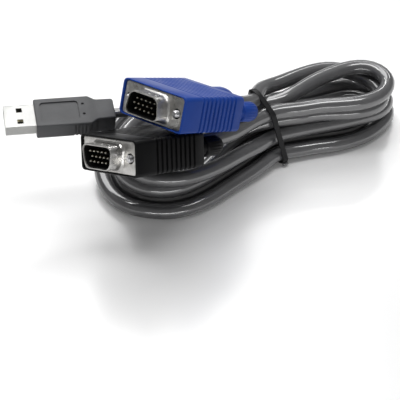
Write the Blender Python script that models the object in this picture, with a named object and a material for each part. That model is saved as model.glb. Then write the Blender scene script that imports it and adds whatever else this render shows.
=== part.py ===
"""Keyboard, video and mouse cable, wound in a hank and tied.

A 1.8 m video cable has a 15-pin plug at each end, one black and one blue. A thin
USB lead leaves the blue plug's neck. The cable is folded into a hank, which a strap
ties at its waist. The black plug lies on the hank and the blue one on the black.
Plug sizes are in each plug's own frame: X across, Y back from its face, Z up.
"""

import math

import bmesh
import bpy
from mathutils import Vector

MM = 0.001

# Clearances between pieces that touch
SEAT_GAP = 0.3 * MM
PIN_GAP = 0.22 * MM
THREAD_GAP = 0.28 * MM

# Moulded hood of a video plug
HOOD_WIDTH = 33.4 * MM
HOOD_HEIGHT = 14.0 * MM
HOOD_LENGTH = 33.6 * MM
HOOD_CORNER = 1.9 * MM
HOOD_EDGE = 0.5 * MM
RIM_STANDS_PROUD = 0.5 * MM
GRIP_GROOVES = 9
GRIP_START = 9.0 * MM
GRIP_PITCH = 2.3 * MM
GRIP_GROOVE_WIDTH = 1.1 * MM
GRIP_GROOVE_DEPTH = 0.8 * MM
NECK_RADIUS = 6.9 * MM
NECK_LENGTH = 8.6 * MM
NECK_TIP_RADIUS = 5.6 * MM
NECK_ROUNDING = 2.6 * MM

# Metal face of a video plug, to the usual 15-pin shell size
PLATE_WIDTH = 30.8 * MM
PLATE_HEIGHT = 12.5 * MM
PLATE_THICKNESS = 0.8 * MM
PLATE_CORNER = 1.2 * MM
SHELL_REACH = 5.9 * MM
SHELL_WALL = 0.5 * MM
SHELL_INSIDE_WIDTH = 16.9 * MM
SHELL_INSIDE_HEIGHT = 8.36 * MM
SHELL_CORNER = 2.4 * MM
SHELL_SLANT = math.radians(10)
INSULATOR_FACE = 1.0 * MM
INSULATOR_BACK = 3.6 * MM

# Pins, in three rows of five
PIN_DIAMETER = 0.76 * MM
PIN_PITCH = 2.29 * MM
PIN_ROW_SPACING = 1.98 * MM
PIN_TIP = 5.0 * MM
PIN_SOCKET = 1.6 * MM
PINS_PER_ROW = 5
PIN_ROWS = 3

# Captive thumbscrews
SCREW_INSET = 2.905 * MM
SCREW_SPACING = PLATE_WIDTH - 2 * SCREW_INSET
SCREW_DIAMETER = 2.84 * MM
SCREW_TIP = 3.4 * MM
SCREW_IN_KNOB = 5.2 * MM
KNOB_DIAMETER = 7.9 * MM
KNOB_LENGTH = 8.8 * MM
KNOB_DOME = 2.2 * MM
KNOB_RIBS = 14
KNOB_RIB_DEPTH = 0.25 * MM

# USB plug
USB_SHELL_WIDTH = 12.0 * MM
USB_SHELL_HEIGHT = 4.5 * MM
USB_SHELL_REACH = 11.9 * MM
USB_SHELL_WALL = 0.4 * MM
USB_SHELL_ROOT = 3.0 * MM
USB_LATCH_SIZE = 2.3 * MM
USB_LATCH_SPACING = 6.0 * MM
USB_LATCH_FROM_TIP = 6.0 * MM
USB_TONGUE_THICKNESS = 1.7 * MM
USB_TONGUE_SET_BACK = 0.5 * MM
USB_CONTACT_OFFSETS = (-3.5 * MM, -1.0 * MM, 1.0 * MM, 3.5 * MM)
USB_CONTACT_WIDTH = 1.0 * MM
USB_CONTACT_LENGTH = 7.6 * MM
USB_CONTACT_THICKNESS = 0.35 * MM
USB_HOOD_WIDTH = 15.3 * MM
USB_HOOD_HEIGHT = 7.0 * MM
USB_HOOD_LENGTH = 21.4 * MM
USB_HOOD_CORNER = 1.3 * MM
USB_GROOVES = 5
USB_GROOVE_START = 14.8 * MM
USB_GROOVE_PITCH = 1.25 * MM
USB_GROOVE_WIDTH = 0.65 * MM
USB_GROOVE_DEPTH = 0.6 * MM
USB_SHOULDER_LENGTH = 2.2 * MM
USB_NECK_WIDTH = 10.8 * MM
USB_NECK_HEIGHT = 6.4 * MM
USB_NECK_LENGTH = 9.8 * MM

# Cables
CABLE_DIAMETER = 6.5 * MM
LEAD_DIAMETER = 3.8 * MM
LEAD_OFFSET = 4.4 * MM
CABLE_BESIDE_LEAD = 2.2 * MM
# A cable leaves or enters a neck straight: where its first points lie, in diameters
STRAIGHT_SHARES = (0.0, 0.4, 1.0)

# Hank: height over its left lobe, and over its waist and right lobe
HANK_LEFT_HEIGHT = 19.9 * MM
HANK_RIGHT_HEIGHT = 29.6 * MM
HANK_EDGE = 3.4 * MM
HANK_WAIST_EDGE = 8.0 * MM
HANK_STEPS = 2
# Distances past the tie: the top's step, the strap's recess below, the gathered waist
HANK_STEP = (-8.5 * MM, -4.5 * MM)
HANK_LIFT = (2.5 * MM, 6.0 * MM)
HANK_GATHER = (3.0 * MM, 12.0 * MM)

# Strap that ties the hank
STRAP_WIDTH = 2.3 * MM
STRAP_THICKNESS = 1.0 * MM
STRAP_CLEARANCE = 0.8 * MM

# Places, in millimetres, before the footprint's middle is moved to the origin
FOOTPRINT_MIDDLE = Vector((4.7, 2.0, 0.0))
TIE_CENTRE = Vector((28.5, 17.5, 0.0))
TIE_HEADING = math.radians(25)
BLACK_PLACE = Vector((-34.4, -40.7, 41.8))
BLACK_HEADING, BLACK_PITCH, BLACK_ROLL = (math.radians(a) for a in (-50.4, -18.1, -22.7))
BLUE_PLACE = Vector((-18.2, -26.6, 54.7))
BLUE_HEADING, BLUE_PITCH, BLUE_ROLL = (math.radians(a) for a in (-46.7, -24.8, -10.3))
USB_PLACE = Vector((-65.0, -14.9, 40.0))
USB_HEADING, USB_PITCH, USB_ROLL = (math.radians(a) for a in (-77.6, -3.9, 11.3))

# Outer line of the hank seen from above, clockwise from the near side of its waist
WAIST_NEAR = (33.6, 5.4)
WAIST_FAR = (23.4, 29.6)
HANK_OUTLINE = (
    WAIST_NEAR, (24, -2.5), (12, -13), (0, -24.3), (-11, -30.3), (-21, -30.6),
    (-32, -27), (-40, -19), (-44.5, -9), (-45, 2), (-42.5, 15), (-37, 26),
    (-28, 33.5), (-16, 35.5), (-2, 34), (12, 31), WAIST_FAR, (31, 37.5),
    (40, 47), (50, 54), (62, 58), (74, 57.5), (83, 53), (87.3, 45),
    (86, 36), (80, 27.5), (73, 21), (64, 16), (54, 13), (44, 9.6),
)
LEFT_LOOP_INSIDE = (
    (-30, 2), (-25, -9), (-14, -14), (-3, -9), (7, 0), (12, 8), (6, 16), (-8, 20),
    (-20, 19), (-28, 12),
)
RIGHT_LOOP_INSIDE = (
    (46, 29), (54, 27.6), (64, 30), (71, 35.5), (72.5, 41), (66, 44), (57, 42.5), (49, 36),
)

# Routes of the stretches that aren't in the hank, in millimetres
BLACK_TAIL_ROUTE = ((5.5, -9.2, 26.0), (13.5, -2.6, 24.4), (21.7, 5.2, 24.0))
BLUE_TAIL_ROUTE = ((15.4, 2.2, 34.3), (19.4, 6.8, 31.0), (23.0, 11.8, 27.6))
USB_LEAD_ROUTE = (
    (10.4, 6.8, 34.4), (11.9, 12.0, 30.4), (9.6, 16.4, 26.0), (4.4, 18.8, 23.0),
    (-2.4, 18.4, 22.2), (-9.6, 14.4, 23.2), (-16.2, 7.8, 26.6), (-22.2, 0.8, 31.4),
    (-27.0, -4.4, 35.6),
)


def remove_everything():
    for thing in list(bpy.data.objects):
        bpy.data.objects.remove(thing, do_unlink=True)


def material(name, colour, roughness, metallic=0.0):
    made = bpy.data.materials.new(name)
    made.use_nodes = True
    shader = made.node_tree.nodes["Principled BSDF"]
    shader.inputs["Base Color"].default_value = (*colour, 1.0)
    shader.inputs["Roughness"].default_value = roughness
    shader.inputs["Metallic"].default_value = metallic
    made.diffuse_color = (*colour, 1.0)
    return made


def empty(name, place_mm, pitch=0.0, roll=0.0, heading=0.0, parent=None):
    made = bpy.data.objects.new(name, None)
    made.location = place_mm * MM
    made.rotation_mode = "YXZ"
    made.rotation_euler = (pitch, roll, heading)
    made.parent = parent
    bpy.context.scene.collection.objects.link(made)
    return made


def finish_mesh(name, mesh_data, parent, finish, place=(0.0, 0.0, 0.0), smooth_angle=35):
    """Turn a bmesh into a named object under its parent."""
    bmesh.ops.recalc_face_normals(mesh_data, faces=mesh_data.faces)
    mesh = bpy.data.meshes.new(name)
    mesh_data.to_mesh(mesh)
    mesh_data.free()
    mesh.shade_smooth()
    mesh.set_sharp_from_angle(angle=math.radians(smooth_angle))
    mesh.materials.append(finish)
    made = bpy.data.objects.new(name, mesh)
    made.location = place
    made.parent = parent
    bpy.context.scene.collection.objects.link(made)
    return made


def rounded_rectangle(width, height, corner, steps=4):
    """Points of a rounded rectangle, counter-clockwise from its right side."""
    points = []
    across, up = width / 2 - corner, height / 2 - corner
    for turn, (x, z) in enumerate(((across, up), (-across, up), (-across, -up), (across, -up))):
        for step in range(steps + 1):
            angle = math.pi / 2 * (turn + step / steps)
            points.append((x + corner * math.cos(angle), z + corner * math.sin(angle)))
    return points


def circle(radius, count):
    """Points of a circle in the same order as a rounded rectangle's."""
    per_corner = count // 4
    points = []
    for turn in range(4):
        for step in range(per_corner):
            angle = math.pi / 2 * (turn + (step + 0.5) / per_corner)
            points.append((radius * math.cos(angle), radius * math.sin(angle)))
    return points


def shell_outline(width, height, corner, wide_side=1, steps=4):
    """Points of the D shape of a 15-pin shell; wide_side is 1 with the wide side up."""
    lean = height / 2 * math.tan(SHELL_SLANT)
    slant = math.degrees(SHELL_SLANT)
    corners = (
        (1, width / 2, height / 2, -slant, 90),
        (-1, width / 2, height / 2, 90, 180 + slant),
        (-1, width / 2 - 2 * lean, -height / 2, 180 + slant, 270),
        (1, width / 2 - 2 * lean, -height / 2, 270, 360 - slant),
    )
    points = []
    for side, half, z, start, end in corners:
        centre_x = side * (half - corner)
        centre_z = z - math.copysign(corner, z)
        for step in range(steps + 1):
            angle = math.radians(start + (end - start) * step / steps)
            points.append((centre_x + corner * math.cos(angle), centre_z + corner * math.sin(angle)))
    return [(x, z * wide_side) for x, z in points]


def loft(sections):
    """Skin closed sections of equal point counts, given as (y, points), with both ends filled."""
    skin = bmesh.new()
    rings = []
    for y, points in sections:
        rings.append([skin.verts.new((x, y, z)) for x, z in points])
    for first, second in zip(rings, rings[1:]):
        for index, vertex in enumerate(first):
            follower = (index + 1) % len(first)
            skin.faces.new((vertex, first[follower], second[follower], second[index]))
    skin.faces.new(rings[0])
    skin.faces.new(rings[-1])
    return skin


def prism(points, front, back):
    return loft(((front, points), (back, points)))


def turned(profile, steps):
    """Turn a profile of (y, radius) about the Y axis; ends with radius 0 close at a point."""
    body = bmesh.new()
    rings = []
    for y, radius in profile:
        if radius == 0:
            rings.append([body.verts.new((0, y, 0))])
            continue
        ring = []
        for step in range(steps):
            angle = 2 * math.pi * step / steps
            ring.append(body.verts.new((radius * math.cos(angle), y, radius * math.sin(angle))))
        rings.append(ring)
    for first, second in zip(rings, rings[1:]):
        for step in range(steps):
            after = (step + 1) % steps
            corners = [first[step % len(first)], first[after % len(first)]]
            corners += [second[after % len(second)], second[step % len(second)]]
            body.faces.new(list(dict.fromkeys(corners)))
    for ring in (rings[0], rings[-1]):
        if len(ring) > 1:
            body.faces.new(ring)
    return body


def join(*bodies):
    """Put several bmeshes that don't meet into one."""
    whole = bodies[0]
    for body in bodies[1:]:
        carried = bpy.data.meshes.new("carried")
        body.to_mesh(carried)
        body.free()
        whole.from_mesh(carried)
        bpy.data.meshes.remove(carried)
    return whole


def moved(body, x=0.0, y=0.0, z=0.0):
    bmesh.ops.translate(body, verts=body.verts, vec=(x, y, z))
    return body


def boolean(target, name, cutter_mesh, parent, finish, operation="DIFFERENCE"):
    cutter = finish_mesh(name, cutter_mesh, parent, finish)
    cutter.hide_render = True
    cutter.display_type = "WIRE"
    modifier = target.modifiers.new(name, "BOOLEAN")
    modifier.operation = operation
    modifier.object = cutter
    modifier.solver = "EXACT"
    return cutter


def hood_sections():
    """Sections of the moulded hood from its front rim to the tip of its neck."""
    def outline(inset=0.0, narrower=0.0):
        return rounded_rectangle(
            HOOD_WIDTH - 2 * (inset + narrower), HOOD_HEIGHT - 2 * inset, HOOD_CORNER - 0.5 * inset
        )

    count = len(outline())
    sections = [
        (-RIM_STANDS_PROUD, outline(HOOD_EDGE)),
        (-RIM_STANDS_PROUD + HOOD_EDGE, outline()),
    ]
    slope = GRIP_GROOVE_WIDTH / 5
    for groove in range(GRIP_GROOVES):
        start = GRIP_START + groove * GRIP_PITCH
        sections += [
            (start, outline()),
            (start + slope, outline(narrower=GRIP_GROOVE_DEPTH)),
            (start + GRIP_GROOVE_WIDTH - slope, outline(narrower=GRIP_GROOVE_DEPTH)),
            (start + GRIP_GROOVE_WIDTH, outline()),
        ]
    sections += [
        (HOOD_LENGTH - 2 * HOOD_EDGE, outline()),
        (HOOD_LENGTH, outline(2 * HOOD_EDGE)),
        (HOOD_LENGTH + 0.1 * MM, circle(NECK_RADIUS - HOOD_EDGE, count)),
        (HOOD_LENGTH + HOOD_EDGE, circle(NECK_RADIUS, count)),
    ]
    neck_end = HOOD_LENGTH + NECK_LENGTH
    shoulder = neck_end - NECK_ROUNDING
    for share in (0.0, 0.5, 0.85, 1.0):
        radius = NECK_TIP_RADIUS + (NECK_RADIUS - NECK_TIP_RADIUS) * math.sqrt(1 - share * share)
        sections.append((shoulder + NECK_ROUNDING * share, circle(radius, count)))
    return sections


def make_hood(prefix, parent, finish, wide_side):
    hood = finish_mesh(prefix + "_hood", loft(hood_sections()), parent, finish)
    pocket = rounded_rectangle(
        PLATE_WIDTH + 2 * SEAT_GAP, PLATE_HEIGHT + 2 * SEAT_GAP, PLATE_CORNER + SEAT_GAP
    )
    plate_back = PLATE_THICKNESS + SEAT_GAP
    boolean(hood, prefix + "_plate_pocket", prism(pocket, -2 * MM, plate_back), parent, finish)
    socket = shell_outline(SHELL_INSIDE_WIDTH, SHELL_INSIDE_HEIGHT, SHELL_CORNER, wide_side)
    boolean(
        hood, prefix + "_insulator_pocket",
        prism(socket, plate_back - 0.5 * MM, INSULATOR_BACK + SEAT_GAP), parent, finish,
    )
    bore = SCREW_DIAMETER / 2 + THREAD_GAP
    bores = [
        moved(turned(((-3 * MM, bore), (HOOD_LENGTH + 3 * MM, bore)), 12), x=side * SCREW_SPACING / 2)
        for side in (-1, 1)
    ]
    boolean(hood, prefix + "_screw_bores", join(*bores), parent, finish)
    return hood


def make_face_plate(prefix, parent, finish, wide_side):
    """The stamped plate with its D-shaped shell."""
    plate_outline = rounded_rectangle(PLATE_WIDTH, PLATE_HEIGHT, PLATE_CORNER)
    plate = finish_mesh(
        prefix + "_face_plate", prism(plate_outline, 0.0, PLATE_THICKNESS), parent, finish
    )
    outside = [SHELL_INSIDE_WIDTH + 2 * SHELL_WALL, SHELL_INSIDE_HEIGHT + 2 * SHELL_WALL]
    shell = prism(
        shell_outline(*outside, SHELL_CORNER + SHELL_WALL, wide_side),
        -SHELL_REACH, PLATE_THICKNESS / 2,
    )
    boolean(plate, prefix + "_shell_outside", shell, parent, finish, "UNION")
    inside = prism(
        shell_outline(SHELL_INSIDE_WIDTH, SHELL_INSIDE_HEIGHT, SHELL_CORNER, wide_side),
        -SHELL_REACH - 1 * MM, PLATE_THICKNESS + 1 * MM,
    )
    boolean(plate, prefix + "_shell_inside", inside, parent, finish)
    hole = SCREW_DIAMETER / 2 + THREAD_GAP
    holes = [
        moved(turned(((-1 * MM, hole), (2 * MM, hole)), 12), x=side * SCREW_SPACING / 2)
        for side in (-1, 1)
    ]
    boolean(plate, prefix + "_screw_holes", join(*holes), parent, finish)
    return plate


def pin_places(wide_side):
    """Each pin's (x, z); the middle row stands half a pitch to one side of the others."""
    places = []
    for row in range(PIN_ROWS):
        shift = PIN_PITCH / 4 if row == 1 else -PIN_PITCH / 4
        for column in range(PINS_PER_ROW):
            x = (column - (PINS_PER_ROW - 1) / 2) * PIN_PITCH + shift
            places.append((x * wide_side, (1 - row) * PIN_ROW_SPACING * wide_side))
    return places


def make_insulator(prefix, parent, finish, wide_side):
    block = shell_outline(
        SHELL_INSIDE_WIDTH - 2 * SEAT_GAP, SHELL_INSIDE_HEIGHT - 2 * SEAT_GAP,
        SHELL_CORNER - SEAT_GAP, wide_side,
    )
    insulator = finish_mesh(
        prefix + "_insulator", prism(block, -INSULATOR_FACE, INSULATOR_BACK), parent, finish
    )
    radius = PIN_DIAMETER / 2 + PIN_GAP
    sockets = [
        moved(turned(((-INSULATOR_FACE - 1 * MM, radius), (PIN_SOCKET + SEAT_GAP, radius)), 8), x=x, z=z)
        for x, z in pin_places(wide_side)
    ]
    boolean(insulator, prefix + "_pin_sockets", join(*sockets), parent, finish)
    return insulator


def make_pins(prefix, parent, finish, wide_side):
    radius = PIN_DIAMETER / 2
    profile = (
        (PIN_SOCKET, radius),
        (-PIN_TIP + radius, radius),
        (-PIN_TIP, radius * 0.45),
    )
    for number, (x, z) in enumerate(pin_places(wide_side), start=1):
        name = "%s_pin_%02d" % (prefix, number)
        finish_mesh(name, turned(profile, 8), parent, finish, place=(x, 0.0, z))


def knob_body():
    """A ribbed, domed knob with a blind bore for its screw; its front face is at Y 0."""
    steps = 2 * KNOB_RIBS
    radius = KNOB_DIAMETER / 2
    bore = SCREW_DIAMETER / 2 + THREAD_GAP
    depth = SCREW_IN_KNOB + SEAT_GAP
    straight = KNOB_LENGTH - KNOB_DOME
    profile = [(depth, 0), (depth, bore), (0.0, bore), (0.0, radius - 0.5 * MM), (0.5 * MM, radius)]
    profile += [(straight, radius)]
    for angle in (30, 60, 80):
        turn = math.radians(angle)
        profile.append((straight + KNOB_DOME * math.sin(turn), radius * (0.45 + 0.55 * math.cos(turn))))
    profile.append((KNOB_LENGTH, 0))
    body = turned(profile, steps)
    for vertex in body.verts:
        spread = math.hypot(vertex.co.x, vertex.co.z)
        if spread < radius - 0.3 * MM or not 0.4 * MM < vertex.co.y < straight + 0.1 * MM:
            continue
        step = round(math.atan2(vertex.co.z, vertex.co.x) / (2 * math.pi) * steps)
        if step % 2:
            vertex.co.x *= 1 - KNOB_RIB_DEPTH / radius
            vertex.co.z *= 1 - KNOB_RIB_DEPTH / radius
    return body


def make_thumbscrews(prefix, parent, knob_finish, screw_finish):
    radius = SCREW_DIAMETER / 2
    knob_front = HOOD_LENGTH + SEAT_GAP
    screw_profile = (
        (-SCREW_TIP, radius * 0.6),
        (-SCREW_TIP + 0.6 * MM, radius),
        (knob_front + SCREW_IN_KNOB, radius),
    )
    for side, label in ((-1, "left"), (1, "right")):
        x = side * SCREW_SPACING / 2
        finish_mesh(
            "%s_screw_%s" % (prefix, label), turned(screw_profile, 12), parent, screw_finish,
            place=(x, 0.0, 0.0),
        )
        finish_mesh(
            "%s_knob_%s" % (prefix, label), knob_body(), parent, knob_finish,
            place=(x, knob_front, 0.0),
        )


def make_video_plug(prefix, parent, finishes, plastic, wide_side):
    make_hood(prefix, parent, plastic, wide_side)
    make_face_plate(prefix, parent, finishes["nickel"], wide_side)
    make_insulator(prefix, parent, finishes["insulator"], wide_side)
    make_pins(prefix, parent, finishes["pin"], wide_side)
    make_thumbscrews(prefix, parent, plastic, finishes["steel"])


def usb_hood_sections():
    def outline(width, height, corner):
        return rounded_rectangle(width, height, corner, steps=3)

    body = (USB_HOOD_WIDTH, USB_HOOD_HEIGHT, USB_HOOD_CORNER)
    grooved = (USB_HOOD_WIDTH - 2 * USB_GROOVE_DEPTH, USB_HOOD_HEIGHT, USB_HOOD_CORNER)
    edge = 0.4 * MM
    sections = [
        (0.0, outline(body[0] - 2 * edge, body[1] - 2 * edge, body[2])),
        (edge, outline(*body)),
    ]
    slope = USB_GROOVE_WIDTH / 4
    for groove in range(USB_GROOVES):
        start = USB_GROOVE_START + groove * USB_GROOVE_PITCH
        sections += [
            (start, outline(*body)),
            (start + slope, outline(*grooved)),
            (start + USB_GROOVE_WIDTH - slope, outline(*grooved)),
            (start + USB_GROOVE_WIDTH, outline(*body)),
        ]
    neck = (USB_NECK_WIDTH, USB_NECK_HEIGHT, USB_HOOD_CORNER)
    neck_end = USB_HOOD_LENGTH + USB_NECK_LENGTH
    sections += [
        (USB_HOOD_LENGTH, outline(*body)),
        (USB_HOOD_LENGTH + USB_SHOULDER_LENGTH, outline(*neck)),
        (neck_end - edge, outline(*neck)),
        (neck_end, outline(neck[0] - 2 * edge, neck[1] - 2 * edge, neck[2])),
    ]
    return sections


def make_usb_plug(parent, finishes):
    hood = finish_mesh("usb_hood", loft(usb_hood_sections()), parent, finishes["black"])
    inner = rounded_rectangle(
        USB_SHELL_WIDTH + 2 * SEAT_GAP, USB_SHELL_HEIGHT + 2 * SEAT_GAP, 0.8 * MM
    )
    boolean(
        hood, "usb_shell_pocket", prism(inner, -1 * MM, USB_SHELL_ROOT + SEAT_GAP),
        parent, finishes["black"],
    )

    shell_corner = 0.6 * MM
    shell = finish_mesh(
        "usb_shell",
        prism(rounded_rectangle(USB_SHELL_WIDTH, USB_SHELL_HEIGHT, shell_corner, steps=2),
              -USB_SHELL_REACH, USB_SHELL_ROOT),
        parent, finishes["nickel"],
    )
    inside_width = USB_SHELL_WIDTH - 2 * USB_SHELL_WALL
    inside_height = USB_SHELL_HEIGHT - 2 * USB_SHELL_WALL
    inside = prism(
        rounded_rectangle(inside_width, inside_height, shell_corner - USB_SHELL_WALL / 2, steps=2),
        -USB_SHELL_REACH - 1 * MM, USB_SHELL_ROOT + 1 * MM,
    )
    boolean(shell, "usb_shell_inside", inside, parent, finishes["nickel"])
    latch_outline = rounded_rectangle(USB_LATCH_SIZE, USB_SHELL_HEIGHT + 2 * MM, 0.1 * MM, steps=1)
    latch_middle = -USB_SHELL_REACH + USB_LATCH_FROM_TIP
    latches = [
        moved(prism(latch_outline, latch_middle - USB_LATCH_SIZE / 2, latch_middle + USB_LATCH_SIZE / 2),
              x=side * USB_LATCH_SPACING / 2)
        for side in (-1, 1)
    ]
    boolean(shell, "usb_latch_windows", join(*latches), parent, finishes["nickel"])

    tongue_width = inside_width - 2 * SEAT_GAP
    tongue_top = inside_height / 2 - SEAT_GAP
    tongue_front = -USB_SHELL_REACH + USB_TONGUE_SET_BACK
    tongue = prism(
        rounded_rectangle(tongue_width, USB_TONGUE_THICKNESS, 0.2 * MM, steps=1),
        tongue_front, USB_SHELL_ROOT,
    )
    moved(tongue, z=-tongue_top + USB_TONGUE_THICKNESS / 2)
    finish_mesh("usb_tongue", tongue, parent, finishes["insulator"])
    contact_z = -tongue_top + USB_TONGUE_THICKNESS + SEAT_GAP / 2 + USB_CONTACT_THICKNESS / 2
    for number, x in enumerate(USB_CONTACT_OFFSETS, start=1):
        strip = prism(
            rounded_rectangle(USB_CONTACT_WIDTH, USB_CONTACT_THICKNESS, 0.1 * MM, steps=1),
            tongue_front + 1 * MM, tongue_front + 1 * MM + USB_CONTACT_LENGTH,
        )
        finish_mesh("usb_contact_%d" % number, moved(strip, x=x, z=contact_z), parent, finishes["pin"])


def smooth_through(points, closed, steps):
    """Points read from a smooth curve through the given points."""
    read = []
    count = len(points)
    last = count if closed else count - 1
    for index in range(last):
        if closed:
            near = [points[(index + shift) % count] for shift in (-1, 0, 1, 2)]
        else:
            near = [points[min(max(index + shift, 0), count - 1)] for shift in (-1, 0, 1, 2)]
        before, start, end, after = near
        for step in range(steps):
            t = step / steps
            read.append(0.5 * (
                2 * start + (end - before) * t
                + (2 * before - 5 * start + 4 * end - after) * t ** 2
                + (3 * start - before - 3 * end + after) * t ** 3
            ))
    if not closed:
        read.append(points[-1])
    return read


def make_tube(name, starts, route_mm, ends, diameter, parent, finish, steps):
    """A plain round cable: straight out of its start, through its route and straight into its end."""
    place, heading = starts
    points = [place + heading * diameter * share for share in STRAIGHT_SHARES]
    points += [Vector(place) * MM for place in route_mm]
    if ends:
        place, heading = ends
        points += [place + heading * diameter * share for share in reversed(STRAIGHT_SHARES)]
    curve = bpy.data.curves.new(name, "CURVE")
    curve.dimensions = "3D"
    curve.bevel_depth = diameter / 2
    curve.bevel_resolution = 2
    curve.use_fill_caps = True
    read = smooth_through(points, False, steps)
    spline = curve.splines.new("POLY")
    spline.points.add(len(read) - 1)
    for point, place in zip(spline.points, read):
        point.co = (*place, 1.0)
    curve.materials.append(finish)
    made = bpy.data.objects.new(name, curve)
    made.parent = parent
    bpy.context.scene.collection.objects.link(made)
    return made


def plug_point(plug, x, y, z):
    """A place in a plug's frame, given in the footprint's frame."""
    turn = plug.rotation_euler.to_matrix()
    return plug.location + turn @ Vector((x, y, z)), (turn @ Vector((0, 1, 0))).normalized()


def along_hank(x, y):
    """Distance past the tie along the hank, in metres."""
    place = Vector((x, y, 0.0)) - TIE_CENTRE * MM
    return place.x * math.cos(TIE_HEADING) + place.y * math.sin(TIE_HEADING)


def share_between(value, start, end):
    return min(max((value - start) / (end - start), 0.0), 1.0)


def hank_edge(x, y):
    """Rounding of the hank's edges, larger where the strap draws the strands together."""
    near_tie = 1 - share_between(abs(along_hank(x, y)), *HANK_GATHER)
    return HANK_EDGE + (HANK_WAIST_EDGE - HANK_EDGE) * near_tie


def hank_outlines():
    """The smooth outer line and the two loops' inner lines, each with its outward normals."""
    outlines = []
    for points, outward in ((HANK_OUTLINE, 1), (LEFT_LOOP_INSIDE, -1), (RIGHT_LOOP_INSIDE, -1)):
        read = smooth_through([Vector((x, y, 0.0)) * MM for x, y in points], True, HANK_STEPS)
        followers = read[1:] + read[:1]
        area = sum(a.x * b.y - b.x * a.y for a, b in zip(read, followers))
        side = outward * math.copysign(1, area)
        normals = []
        for before, after in zip(read[-1:] + read[:-1], followers):
            run = after - before
            normals.append(Vector((run.y, -run.x, 0.0)).normalized() * side)
        outlines.append((read, normals))
    return outlines


def make_hank(parent, finish):
    """The hank's outer shape: two lobes of folded cable that meet at the tied waist."""
    body = bmesh.new()
    lower_cap, upper_cap = [], []
    turns = [math.radians(angle) for angle in (0, 30, 60, 90)]
    levels = [(1 - math.sin(turn), 1 - math.cos(turn), False) for turn in turns]
    levels += [(inset, rise, True) for inset, rise, _ in reversed(levels)]
    for read, normals in hank_outlines():
        rings = []
        for inset, rise, upper in levels:
            ring = []
            for place, normal in zip(read, normals):
                edge = hank_edge(place.x, place.y)
                spot = place - normal * inset * edge
                z = HANK_RIGHT_HEIGHT - rise * edge if upper else rise * edge
                ring.append(body.verts.new((spot.x, spot.y, z)))
            rings.append(ring)
        for first, second in zip(rings, rings[1:]):
            for index, vertex in enumerate(first):
                after = (index + 1) % len(first)
                body.faces.new((vertex, first[after], second[after], second[index]))
        for cap, ring in ((lower_cap, rings[0]), (upper_cap, rings[-1])):
            cap.extend(body.edges.get((a, b)) for a, b in zip(ring, ring[1:] + ring[:1]))
    for cap in (lower_cap, upper_cap):
        bmesh.ops.triangle_fill(body, use_beauty=True, edges=cap, normal=(0, 0, 1))

    run = Vector((math.cos(TIE_HEADING), math.sin(TIE_HEADING), 0.0))
    for distance in HANK_STEP + (-HANK_LIFT[1], -HANK_LIFT[0], HANK_LIFT[0], HANK_LIFT[1]):
        bmesh.ops.bisect_plane(
            body, geom=body.verts[:] + body.edges[:] + body.faces[:], dist=1e-7,
            plane_co=TIE_CENTRE * MM + run * distance, plane_no=run,
        )
    lift = STRAP_THICKNESS + SEAT_GAP
    for vertex in body.verts:
        past_tie = along_hank(vertex.co.x, vertex.co.y)
        if vertex.co.z > HANK_RIGHT_HEIGHT / 2:
            low = 1 - share_between(past_tie, *HANK_STEP)
            vertex.co.z -= (HANK_RIGHT_HEIGHT - HANK_LEFT_HEIGHT) * low
        else:
            vertex.co.z += lift * (1 - share_between(abs(past_tie), *HANK_LIFT))
    return finish_mesh("cable_hank", body, parent, finish)


def make_strap(parent, finish):
    """The strap round the hank's waist, with its short end at the foot of the near side."""
    half = (Vector(WAIST_FAR) - Vector(WAIST_NEAR)).length / 2 * MM + STRAP_CLEARANCE
    top = HANK_RIGHT_HEIGHT + SEAT_GAP
    bottom = STRAP_THICKNESS
    corner = HANK_WAIST_EDGE - STRAP_CLEARANCE
    middle_z = (top + bottom) / 2
    inner = rounded_rectangle(2 * half, top - bottom, corner, steps=5)
    outer = rounded_rectangle(
        2 * (half + STRAP_THICKNESS), top - bottom + 2 * STRAP_THICKNESS, corner + STRAP_THICKNESS, steps=5
    )
    band = bmesh.new()
    rings = []
    for outline, y in ((outer, -1), (inner, -1), (inner, 1), (outer, 1)):
        rings.append([
            band.verts.new((x, y * STRAP_WIDTH / 2, z + middle_z)) for x, z in outline
        ])
    for first, second in zip(rings, rings[1:] + rings[:1]):
        for index, vertex in enumerate(first):
            after = (index + 1) % len(first)
            band.faces.new((vertex, first[after], second[after], second[index]))
    made = finish_mesh("tie_strap", band, parent, finish)
    made.location = TIE_CENTRE * MM
    made.rotation_euler = (0.0, 0.0, TIE_HEADING - math.pi / 2)
    return made


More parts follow.
